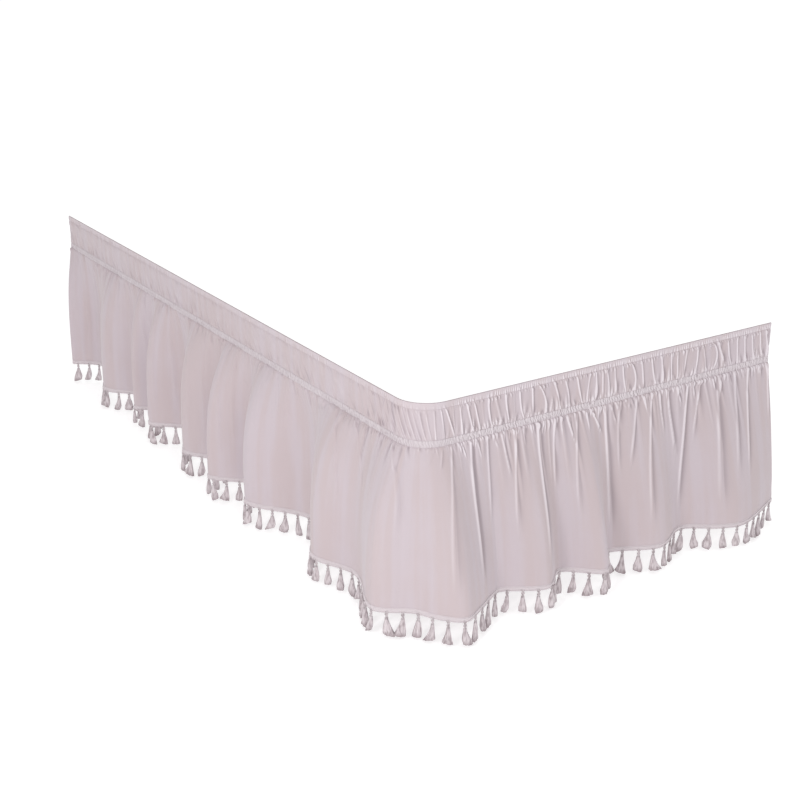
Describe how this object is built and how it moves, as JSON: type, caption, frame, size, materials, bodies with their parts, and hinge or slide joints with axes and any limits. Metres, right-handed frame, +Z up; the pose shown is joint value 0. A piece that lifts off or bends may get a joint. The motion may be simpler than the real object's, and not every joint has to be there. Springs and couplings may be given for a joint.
{
  "type": "bed skirt",
  "caption": "Elastic wrap-round bed skirt for a bed's side and foot, with a gathered band, full folds and a tasselled hem.",
  "frame": {"origin": "on the top edge, at the middle of the rounded corner between the side and the foot", "axes": "+Z up; +Y along the side, away from the corner; +X along the foot, away from the corner, so the bed lies towards +X and +Y"},
  "size_m": [1.1461, 2.0814, 0.5142],
  "materials": {
    "cloth": "soft matt woven cloth with a slight sheen",
    "elastic": "ribbed woven elastic",
    "trim": "matt cotton braid and thread tassels"
  },
  "bodies": {
    "root": {"skirt_cloth": "cloth", "upper_elastic": "elastic", "lower_elastic": "elastic", "tassel_trim": "trim"}
  },
  "joints": []
}
